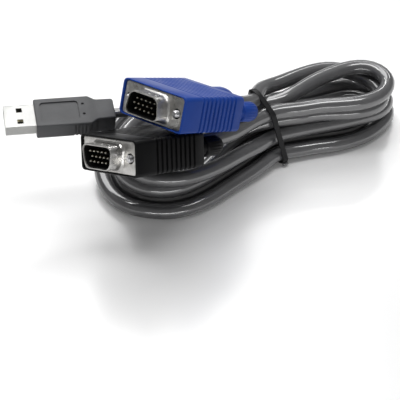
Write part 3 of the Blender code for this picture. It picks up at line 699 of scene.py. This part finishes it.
def smooth_line(points, steps=12):
    """A centripetal curve through the points, which doesn't overshoot where they are close."""
    given = np.array(points, float)
    given = np.vstack([2 * given[0] - given[1], given, 2 * given[-1] - given[-2]])
    line = []
    for place in range(1, len(given) - 2):
        four = given[place - 1:place + 3]
        gaps = np.sqrt(np.maximum(np.linalg.norm(np.diff(four, axis=0), axis=1), 1e-6))
        knots = np.concatenate([[0.0], np.cumsum(gaps)])
        for value in np.linspace(knots[1], knots[2], steps, endpoint=False):
            level = four
            for width in (1, 2):
                level = [
                    level[k] + (level[k + 1] - level[k])
                    * (value - knots[k]) / (knots[k + width] - knots[k])
                    for k in range(len(level) - 1)
                ]
            share = (value - knots[1]) / (knots[2] - knots[1])
            line.append(level[0] + (level[1] - level[0]) * share)
    line.append(given[-2])
    return np.array(line)


def even_spacing(line, spacing):
    """The same line with its points about the same length apart."""
    travelled = np.concatenate([[0.0], np.cumsum(np.linalg.norm(np.diff(line, axis=0), axis=1))])
    places = np.linspace(0.0, travelled[-1], int(round(travelled[-1] / spacing)) + 1)
    return np.stack([np.interp(places, travelled, line[:, axis]) for axis in range(3)], axis=1)


def main_route(diameter):
    """The main cable's way from the black plug's neck through its loops to the blue one's."""
    points = [*plug_exit(BLACK_AT, 0.0, NECK_END, diameter), *BLACK_TAIL, tie_slot("C")]
    for name in LOOP_ORDER:
        points += [*LOOPS[name], tie_slot(name[1])]
    points += [*reversed(BLUE_TAIL), *reversed(plug_exit(BLUE_AT, CABLE_X, NECK_END, diameter))]
    return even_spacing(smooth_line(points), CABLE_SPACING)


def settled(route, diameter):
    """Let the strands push each other a diameter apart, over the floor and under a ceiling.

    The cable's ends stay where they leave the plugs. What a push moves is spread along the
    cable, which stands for its stiffness, and a little of it is lost at each step.
    """
    clear = diameter + STRAND_CLEARANCE
    floor = diameter / 2 + FLOOR_CLEARANCE
    line = route.copy()
    number = np.arange(len(line))
    from_end = np.minimum(number, number[::-1]) * CABLE_SPACING
    free = np.minimum(from_end / STIFF_END, 1.0)[:, None]
    apart = np.abs(number[:, None] - number[None, :]) * CABLE_SPACING > SAME_STRAND * diameter
    past_tie = (line[:, :2] - TIE_AT) @ ALONG
    ceiling = np.where(past_tie < LEFT_PART, LEFT_CEILING, RIGHT_CEILING)
    ceiling = np.where(from_end < LOOSE_TAIL, NO_CEILING, ceiling)
    for _ in range(SETTLING_STEPS):
        between = line[:, None] - line[None, :]
        distance = np.sqrt((between ** 2).sum(2)) + 1e-6
        near = apart & (distance < clear)
        push = np.where(near, (clear - distance) / (2 * distance), 0.0)
        move = (push[:, :, None] * between).sum(1) / np.maximum(near.sum(1) * 0.5, 1)[:, None]
        shift = line + PUSH * move * free - route
        for _ in range(2):
            middle = (shift[:-2] + shift[2:]) / 2
            shift[1:-1] += 0.5 * (middle - shift[1:-1])
        line = route + shift * HOLD
        past_tie = (line[:, :2] - TIE_AT) @ ALONG
        over_strap = STRAP_LIFT * np.clip(1 - (np.abs(past_tie) - STRAP_HALF) / STRAP_FADE, 0, 1)
        line[:, 2] = np.clip(line[:, 2], floor + over_strap, ceiling)
    for _ in range(2):
        line[1:-1] = (line[:-2] + 2 * line[1:-1] + line[2:]) / 4
    return line


def cord_object(name, line, diameter, material, stands_for):
    """A round cord along a line of points in millimetres, as one open spline."""
    curve = bpy.data.curves.new(name, "CURVE")
    curve.dimensions = "3D"
    curve.bevel_depth = diameter / 2
    curve.bevel_resolution = 6
    curve.use_fill_caps = True
    spline = curve.splines.new("POLY")
    spline.points.add(len(line) - 1)
    for point, place in zip(spline.points, line):
        point.co = (*(Vector(place) * MM), 1.0)
    spline.use_smooth = True
    return link_piece(name, curve, material, MAIN_BODY, stands_for)


class CABLE_OT_main_cable(bpy.types.Operator):
    """Lay the main cable from the black plug through the hank to the blue plug"""

    bl_idname = "cable_set.main_cable"
    bl_label = "Main cable"

    def execute(self, context):
        diameter = sizes().main_diameter
        line = settled(main_route(diameter / MM), diameter / MM)
        cable = cord_object("main_cable", line, diameter, jacket(),
                            ("cable_hank", "black_tail", "blue_tail"))
        return {"FINISHED"}


class CABLE_OT_thin_lead(bpy.types.Operator):
    """Lay the thin lead from the blue plug's neck to the small plug"""

    bl_idname = "cable_set.thin_lead"
    bl_label = "Thin lead"

    def execute(self, context):
        diameter = sizes().lead_diameter
        points = [
            *plug_exit(BLUE_AT, LEAD_X, NECK_END, diameter / MM), *LEAD_ROUTE,
            *reversed(plug_exit(USB_AT, 0.0, USB_REAR + SEAT, diameter / MM)),
        ]
        line = even_spacing(smooth_line(points), LEAD_SPACING)
        lead = cord_object("thin_lead", line, diameter, jacket(), ("usb_lead",))
        return {"FINISHED"}


# Strap. Its own frame is X along the hank from TIE_AT, Y across it and Z up.


def strap_lag(across, height):
    """How far the strap lies behind an upright ring, at a place across and up."""
    slant = TIE_SLANT * (np.minimum(across, TIE_CREST) - TIE_FOOT[0])
    slant -= TIE_RETURN * np.maximum(across - TIE_CREST, 0.0)
    return slant + TIE_LEAN * (height - TIE_FOOT[1]) - TIE_FORWARD


def strands_in_strap():
    """Where the laid cable's strands pass through the strap, across and up."""
    points = bpy.data.objects["main_cable"].data.splines[0].points
    line = np.array([point.co[:3] for point in points]) / MM
    past = (line[:, :2] - TIE_AT) @ ALONG
    across = (line[:, :2] - TIE_AT) @ ACROSS
    up = line[:, 2]
    beyond = past + strap_lag(across, up)
    last = np.nonzero((beyond[:-1] < 0) != (beyond[1:] < 0))[0]
    return np.stack([across[last] + across[last + 1], up[last] + up[last + 1]], axis=1) / 2


def tight_loop(points, radius, count):
    """The closed line that a tight strap takes round circles of one radius."""
    loop = []
    for step in range(count):
        angle = 2 * math.pi * step / count
        way = np.array((math.cos(angle), math.sin(angle)))
        loop.append(points[int(np.argmax(points @ way))] + way * radius)
    return loop


def band_mesh(loop, width):
    """A band without thickness along a closed line, leant and slanted as the strap is."""
    mesh = bmesh.new()
    ring = [mesh.verts.new((0.0, *place)) for place in loop]
    for vertex, after in zip(ring, ring[1:] + ring[:1]):
        mesh.edges.new((vertex, after))
    bmesh.ops.remove_doubles(mesh, verts=mesh.verts, dist=1e-4)
    bmesh.ops.translate(mesh, vec=(-width / 2, 0, 0), verts=mesh.verts)
    made = bmesh.ops.extrude_edge_only(mesh, edges=mesh.edges)
    far = [item for item in made["geom"] if isinstance(item, bmesh.types.BMVert)]
    bmesh.ops.translate(mesh, vec=(width, 0, 0), verts=far)
    for vertex in mesh.verts:
        vertex.co.x -= strap_lag(vertex.co.y, vertex.co.z)
    bmesh.ops.recalc_face_normals(mesh, faces=mesh.faces)
    return mesh


def twist_mesh():
    """The short twisted end of the strap."""
    return turned(((-1.3, 0.0), (-1.3, 0.5), (-1.0, 0.8), (1.0, 0.8), (1.3, 0.5), (1.3, 0.0)), 20)


class CABLE_OT_tie(bpy.types.Operator):
    """Draw the strap tight round the strands at the hank's waist, with its short end"""

    bl_idname = "cable_set.tie"
    bl_label = "Tie"

    def execute(self, context):
        section = strands_in_strap()
        radius = sizes().main_diameter / MM / 2 + STRAND_CLEARANCE
        turn = Matrix.Translation((*(TIE_AT * MM), 0.0)) @ Matrix.Rotation(TIE_TURN, 4, "Z")
        foot, height = section[:, 0].min() - radius - 0.2, 1.4
        place = Vector((-strap_lag(foot, height) - 0.3, foot, height)) * MM
        leaning = turn @ Matrix.Translation(place) @ Matrix.Rotation(math.radians(-75), 4, "Z")
        # Painted highlight: the twisted end gets the grey cable jacket, lighter than the strap's
        # black
        piece("tie_twist", twist_mesh(), leaning, jacket(), MAIN_BODY)
        band = band_mesh(tight_loop(section, radius, 96), sizes().strap_width / MM)
        strap = piece("tie_band", band, turn, strap_plastic(), MAIN_BODY, ("tie_strap",))
        wall = strap.modifiers.new("thickness", "SOLIDIFY")
        wall.thickness = sizes().strap_thickness
        wall.offset = 1.0
        soften(strap, 0.22, 3)
        return {"FINISHED"}


# Plugs


def screw_holes():
    """Two round cutters where the thumbscrews pass the plate."""
    mesh = turned(((-1.0, 0.0), (-1.0, HOLE_RADIUS), (2.0, HOLE_RADIUS), (2.0, 0.0)), 32)
    bmesh.ops.translate(mesh, vec=(SCREW_X, 0, 0), verts=mesh.verts)
    copy = bmesh.ops.duplicate(mesh, geom=mesh.verts[:] + mesh.edges[:] + mesh.faces[:])
    moved = [item for item in copy["geom"] if isinstance(item, bmesh.types.BMVert)]
    bmesh.ops.translate(mesh, vec=(-2 * SCREW_X, 0, 0), verts=moved)
    return mesh


def hood_mesh():
    """Hood of a video plug: pocket, front rim, grip grooves and rounded rear, in one run."""
    width, height = HOOD_SIZE
    pocket_width, pocket_height = POCKET_SIZE
    stations = [
        (1.1, *POCKET_SIZE), (-0.42, *POCKET_SIZE),
        (-0.5, pocket_width + 0.16, pocket_height + 0.16),
        (-0.5, width - 0.6, height - 0.5), (-0.38, width - 0.22, height - 0.2),
        (-0.1, width, height),
    ]
    groove_profile = ((0.0, 0.0), (0.12, 0.5), (0.32, 0.9), (0.68, 0.9), (0.88, 0.5), (1.0, 0.0))
    for groove in range(GROOVES):
        start = GROOVE_START + groove * GROOVE_PITCH
        for share, depth in groove_profile:
            y = start + share * GROOVE_WIDTH
            inset = GROOVE_DEPTH * depth
            stations.append((y, width - 2 * inset, height - 0.5 * inset))
    for back, inset in ((1.1, 0.0), (0.6, 0.18), (0.2, 0.55), (0.0, 1.2)):
        stations.append((HOOD_LENGTH - back, width - 2 * inset, height - 2 * inset))
    return drawn(box_corners(*POCKET_SIZE), 1.6, 6, stations)


def neck_mesh():
    """The round neck behind a video plug's hood, with its rounded rear edge."""
    profile = [(-0.6, 0.0), (-0.6, NECK_RADIUS), (4.6, NECK_RADIUS), (5.3, 6.8), (6.2, 6.62),
               (7.2, 6.3), (8.1, 5.95), (8.5, 5.7), (NECK_LENGTH, 5.4), (NECK_LENGTH, 0.0)]
    return turned([(HOOD_LENGTH + y, radius) for y, radius in profile], 56)


def face_plate_mesh():
    """The stamped plate, with its corners rounded and its edges turned over a little."""
    edge = ((0.8, -0.3), (0.65, 0.0), (0.25, 0.0), (0.06, -0.14), (0.0, -0.5))
    return drawn(box_corners(*PLATE_SIZE), 1.3, 6, widened(PLATE_SIZE, edge))


def shell_mesh(wide_side):
    """The D-shaped shell: its inner wall, rolled front edge, outer wall and flared root."""
    front = SHELL_FRONT
    walls = ((-0.6, 0.0), (front + 0.2, 0.0), (front + 0.05, 0.1), (front, 0.32), (front, 0.68),
             (front + 0.07, 0.9), (front + 0.25, 1.0), (-1.25, 1.0), (-0.8, 1.12), (-0.45, 1.45),
             (-0.2, 1.95), (-0.04, 2.6), (0.15, 2.9))
    return drawn(shell_corners(*SHELL_SIZE, wide_side), 2.5, 8, widened(SHELL_SIZE, walls))


def shade_lining_mesh(wide_side):
    """A dark lining in the insulator's plastic over the shell's inner walls up to its rim, which is
    painted shade.
    """
    width, height = SHADE_LINING_SIZE
    stations = [
        (-0.6, width, height), (-5.2, width, height), (-5.35, width + 0.1, height + 0.1),
        (-5.4, width + 0.25, height + 0.24), (-5.35, width + 0.38, height + 0.38),
        (-0.5, width + 0.38, height + 0.38),
    ]
    return drawn(shell_corners(width, height, wide_side), 2.3, 8, stations)


def shade_ring_mesh():
    """A dark ring in a plate's hole, round a screw, which is painted shade; it is black on both
    plugs.
    """
    outer = HOLE_RADIUS - 0.03
    return turned(((0.15, 1.5), (0.15, outer), (0.78, outer), (0.78, 1.5), (0.15, 1.5)), 32)


def screw_mesh():
    """A thumbscrew's shank with its thread at the tip."""
    profile = [(SCREW_TIP, 0.0), (SCREW_TIP, 0.85), (SCREW_TIP + 0.3, 1.2)]
    for turn in range(4):
        start = SCREW_TIP + 0.35 + turn * THREAD_PITCH
        for share, radius in ((0.0, THREAD_ROOT), (0.3, SHANK_RADIUS), (0.5, SHANK_RADIUS),
                              (0.8, THREAD_ROOT)):
            profile.append((start + share * THREAD_PITCH, radius))
    shank_end = HOOD_LENGTH + 5.5
    profile += [(1.6, THREAD_ROOT), (1.7, SHANK_RADIUS)]
    profile += [(shank_end, SHANK_RADIUS), (shank_end, 0.0)]
    return turned(profile, 32)


def knob_mesh():
    """A domed knob with fine lengthwise ribs and a narrower collar next to the hood."""
    profile = [(0.0, 0.0), (0.0, 2.9), (2.0, 3.0), (2.3, 3.7), (2.7, KNOB_RADIUS),
               (8.2, KNOB_RADIUS), (9.2, 3.82), (10.1, 3.3), (10.7, 2.3), (KNOB_LENGTH, 1.1),
               (KNOB_LENGTH, 0.0)]
    mesh = turned([(HOOD_LENGTH + SEAT + y, radius) for y, radius in profile], 2 * KNOB_RIBS)
    for vertex in mesh.verts:
        radius = math.hypot(vertex.co.x, vertex.co.z)
        column = round(math.atan2(vertex.co.z, vertex.co.x) / math.pi * KNOB_RIBS)
        if radius > 3.7 and column % 2:
            vertex.co.x *= 1 - RIB_DEPTH / radius
            vertex.co.z *= 1 - RIB_DEPTH / radius
    return mesh


def build_video_plug(prefix, at, wide_side):
    """The drawn pieces of one 15-pin plug, with its shell's wide side above for 1 or below."""
    matrix = plug_matrix(at)
    moulded = plastic(prefix)
    hood = piece(prefix + "_moulded_hood", hood_mesh(), matrix, moulded, MAIN_BODY,
                 (prefix + "_hood",), smooth_angle=50)
    soften(hood, 0.12)
    piece(prefix + "_neck", neck_mesh(), matrix, moulded, MAIN_BODY)
    plate = piece(prefix + "_stamped_plate", face_plate_mesh(), matrix, plated(), MAIN_BODY,
                  (prefix + "_face_plate",))
    cut(plate, screw_holes(), matrix)
    shell = piece(prefix + "_d_shell", shell_mesh(wide_side), matrix, plated(), MAIN_BODY)
    # Painted shade: a dark lining over the shell's inner walls, up to its rim
    piece(prefix + "_shell_lining", shade_lining_mesh(wide_side), matrix, insulator_plastic(),
          MAIN_BODY, smooth_angle=50)
    for place in (-1, 0, 1):
        across = place * DIMPLE_SPACING
        up = (SHELL_SIZE[1] / 2 + 0.5 + 0.62) * wide_side
        cut(shell, ball(DIMPLE_RADIUS, (across, -3.1, up)), matrix)
        cut(shell, ball(DIMPLE_RADIUS, (across * 0.85, -3.1, -up)), matrix)
    for side, across in (("left", -SCREW_X), ("right", SCREW_X)):
        own = shifted(matrix, across)
        body = "%s_thumbscrew_%s" % (prefix, side)
        # Painted shade: a black ring in each screw hole, on the blue plug as well
        piece("%s_hole_ring_%s" % (prefix, side), shade_ring_mesh(), own, plastic("black"),
              MAIN_BODY)
        piece("%s_threaded_screw_%s" % (prefix, side), screw_mesh(), own, screw_steel(), body,
              ("%s_screw_%s" % (prefix, side),))
        piece("%s_ribbed_knob_%s" % (prefix, side), knob_mesh(), own, moulded, body,
              ("%s_knob_%s" % (prefix, side),), smooth_angle=55)


class CABLE_OT_video_plugs(bpy.types.Operator):
    """Build the black and the blue 15-pin plugs round their pins"""

    bl_idname = "cable_set.video_plugs"
    bl_label = "Video plugs"

    def execute(self, context):
        build_video_plug("black", BLACK_AT, 1)
        build_video_plug("blue", BLUE_AT, -1)
        return {"FINISHED"}


def usb_hood_mesh():
    """Hood of the small plug: pocket, rounded front, shoulder and a neck that is deeper below."""
    width, height = USB_HOOD_SIZE
    stations = [
        (1.2, *USB_POCKET_SIZE), (0.0, *USB_POCKET_SIZE), (0.0, width - 0.9, height - 0.8),
        (0.12, width - 0.4, height - 0.3), (0.45, width, height),
    ]
    shoulder = ((-0.2, width, height), (0.5, 14.4, height), (1.5, 12.7, height), (2.5, 11.3, 6.9),
                (3.5, 10.8, 6.9))
    stations += [(USB_HOOD_LENGTH + y, *size) for y, *size in shoulder]
    rear = ((-0.9, 10.6, 6.9), (-0.3, 10.2, 6.6), (0.0, 9.4, 5.9))
    stations += [(USB_REAR + y, *size) for y, *size in rear]
    mesh = drawn(box_corners(*USB_POCKET_SIZE), 0.75, 5, stations)
    for vertex in mesh.verts:
        if vertex.co.y > USB_HOOD_LENGTH + 0.6 and vertex.co.z < 0:
            vertex.co.z *= USB_NECK_DROP
    return mesh


def usb_shell_mesh():
    """The folded metal shell, open at the front, with a rolled front edge."""
    walls = ((2.9, 0.0), (-11.7, 0.0), (-11.86, 0.12), (-11.9, 0.4), (-11.86, 0.66),
             (-11.7, 0.8), (3.0, 0.8))
    return drawn(box_corners(*USB_SHELL_SIZE), 0.45, 4, widened(USB_SHELL_SIZE, walls))


class CABLE_OT_small_plug(bpy.types.Operator):
    """Build the small plug on the thin lead"""

    bl_idname = "cable_set.small_plug"
    bl_label = "Small plug"

    def execute(self, context):
        matrix = plug_matrix(USB_AT)
        hood = piece("usb_moulded_hood", usb_hood_mesh(), matrix, small_hood_plastic(), MAIN_BODY,
                     ("usb_hood",))
        edge, top = USB_HOOD_SIZE[0] / 2, USB_HOOD_SIZE[1] / 2
        recess = block(*USB_RECESS, 2.0, 1.4, USB_RECESS_AT, top - USB_RECESS_DEPTH)
        cut(hood, recess, matrix)
        for groove in range(USB_GROOVES):
            y = USB_GROOVE_START + groove * USB_GROOVE_PITCH
            for side in (-1, 1):
                cutter = block(2.4, USB_GROOVE_WIDTH, 7.0, 0.1, y, -4.4)
                cut(hood, cutter, shifted(matrix, side * (edge + 0.25)))
        for across, y in USB_DIMPLES:
            cut(hood, ball(0.6, (across, y, top - 0.1)), matrix)
        soften(hood, 0.1)
        shell = piece("usb_folded_shell", usb_shell_mesh(), matrix, polished(), MAIN_BODY,
                      ("usb_shell",))
        across, y = USB_WINDOW_AT
        for side in (-1, 1):
            window = block(USB_WINDOW, USB_WINDOW, 7.0, 0.15, y, -3.5)
            cut(shell, window, shifted(matrix, side * across))
        return {"FINISHED"}


class CABLE_OT_carried_finishes(bpy.types.Operator):
    """Give the pins, contacts and insulators of the CAD model their finishes"""

    bl_idname = "cable_set.carried_finishes"
    bl_label = "Carried pieces"

    def execute(self, context):
        for name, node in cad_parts.items():
            if node.hide_render:
                continue
            if "_pin_" in name:
                prefix = name.split("_")[0]
                material = pin_gilt_painted_shade(prefix, BLACK_AT if prefix == "black" else BLUE_AT)
            elif "_contact_" in name:
                material = gilt()
            elif name.endswith("_insulator"):
                material = insulator_plastic()
            elif name.endswith("_tongue"):
                material = tongue_plastic()
            else:
                raise RuntimeError("no finish for the shown node " + name)
            node.data.materials.clear()
            node.data.materials.append(material)
        return {"FINISHED"}


# Stage


class CABLE_OT_stage(bpy.types.Operator):
    """Make the camera, the lamps, the world and the floor"""

    bl_idname = "cable_set.stage"
    bl_label = "Stage"

    def execute(self, context):
        scene = context.scene
        scene.view_settings.view_transform = "Standard"
        self.camera(scene)
        for lamp in LAMPS:
            self.lamp(*lamp)
        self.surround()
        self.floor()
        return {"FINISHED"}

    def camera(self, scene):
        data = bpy.data.cameras.new("camera")
        data.sensor_width = 36.0
        data.lens = CAMERA_LENS
        data.shift_x = CAMERA_SHIFT
        data.clip_end = 20.0
        made = bpy.data.objects.new("camera", data)
        made.location = Vector(CAMERA_AT) * MM
        made.rotation_euler = (math.radians(CAMERA_TILT), 0.0, 0.0)
        scene.collection.objects.link(made)
        scene.camera = made

    def lamp(self, name, place, target, size, power):
        data = bpy.data.lights.new(name, "AREA")
        data.shape = "RECTANGLE"
        data.size, data.size_y = size
        data.energy = power
        made = bpy.data.objects.new(name, data)
        made.location = place
        aim = Vector(target) - Vector(place)
        made.rotation_euler = aim.to_track_quat("-Z", "Y").to_euler()
        bpy.context.scene.collection.objects.link(made)

    def surround(self):
        world = bpy.data.worlds.new("studio")
        world.use_nodes = True
        background = world.node_tree.nodes["Background"]
        background.inputs["Color"].default_value = (1.0, 1.0, 1.0, 1.0)
        background.inputs["Strength"].default_value = WORLD_LEVEL
        bpy.context.scene.world = world

    def floor(self):
        mesh = bmesh.new()
        bmesh.ops.create_grid(mesh, x_segments=2, y_segments=2, size=2.5)
        data = bpy.data.meshes.new("floor")
        mesh.to_mesh(data)
        mesh.free()
        made = bpy.data.objects.new("floor", data)
        data.materials.append(self.floor_finish())
        bpy.context.scene.collection.objects.link(made)

    def floor_finish(self):
        """White, with a faint mirror in it, and a little brighter to the camera alone."""
        made = bpy.data.materials.new("glossy white floor")
        made.use_nodes = True
        nodes, links = made.node_tree.nodes, made.node_tree.links
        nodes.clear()
        matt = nodes.new("ShaderNodeBsdfDiffuse")
        matt.inputs["Color"].default_value = (0.93, 0.93, 0.93, 1.0)
        mirror = nodes.new("ShaderNodeBsdfGlossy")
        mirror.inputs["Roughness"].default_value = 0.25
        mirror.inputs["Color"].default_value = (1.0, 1.0, 1.0, 1.0)
        surface = nodes.new("ShaderNodeMixShader")
        surface.inputs["Fac"].default_value = FLOOR_MIRROR
        glow = nodes.new("ShaderNodeEmission")
        path = nodes.new("ShaderNodeLightPath")
        level = nodes.new("ShaderNodeMath")
        level.operation = "MULTIPLY"
        level.inputs[1].default_value = FLOOR_GLOW
        add = nodes.new("ShaderNodeAddShader")
        output = nodes.new("ShaderNodeOutputMaterial")
        links.new(matt.outputs[0], surface.inputs[1])
        links.new(mirror.outputs[0], surface.inputs[2])
        links.new(path.outputs["Is Camera Ray"], level.inputs[0])
        links.new(level.outputs[0], glow.inputs["Strength"])
        links.new(surface.outputs[0], add.inputs[0])
        links.new(glow.outputs[0], add.inputs[1])
        links.new(add.outputs[0], output.inputs["Surface"])
        return made


class CABLE_PT_panel(bpy.types.Panel):
    """Sizes, colours and build steps of the cable set"""

    bl_idname = "CABLE_PT_panel"
    bl_label = "Cable set"
    bl_space_type = "VIEW_3D"
    bl_region_type = "UI"
    bl_category = "Cable set"

    def draw(self, context):
        for group in (context.scene.cable_sizes, context.scene.plug_colours):
            for name in group.__annotations__:
                self.layout.prop(group, name)
        for step in BUILD_STEPS:
            self.layout.operator(step.bl_idname)


BUILD_STEPS = (
    CABLE_OT_stage, CABLE_OT_main_cable, CABLE_OT_thin_lead, CABLE_OT_tie, CABLE_OT_video_plugs,
    CABLE_OT_small_plug, CABLE_OT_carried_finishes,
)
CLASSES = (CableSizes, PlugColours, *BUILD_STEPS, CABLE_PT_panel)


def register():
    for one in CLASSES:
        bpy.utils.register_class(one)
    bpy.types.Scene.cable_sizes = PointerProperty(type=CableSizes)
    bpy.types.Scene.plug_colours = PointerProperty(type=PlugColours)


def unregister():
    del bpy.types.Scene.plug_colours
    del bpy.types.Scene.cable_sizes
    for one in reversed(CLASSES):
        bpy.utils.unregister_class(one)


def main():
    register()
    bpy.ops.cable_set.stage()
    bpy.ops.cable_set.main_cable()
    bpy.ops.cable_set.thin_lead()
    bpy.ops.cable_set.tie()
    bpy.ops.cable_set.video_plugs()
    bpy.ops.cable_set.small_plug()
    bpy.ops.cable_set.carried_finishes()


if __name__ == "__main__":
    main()
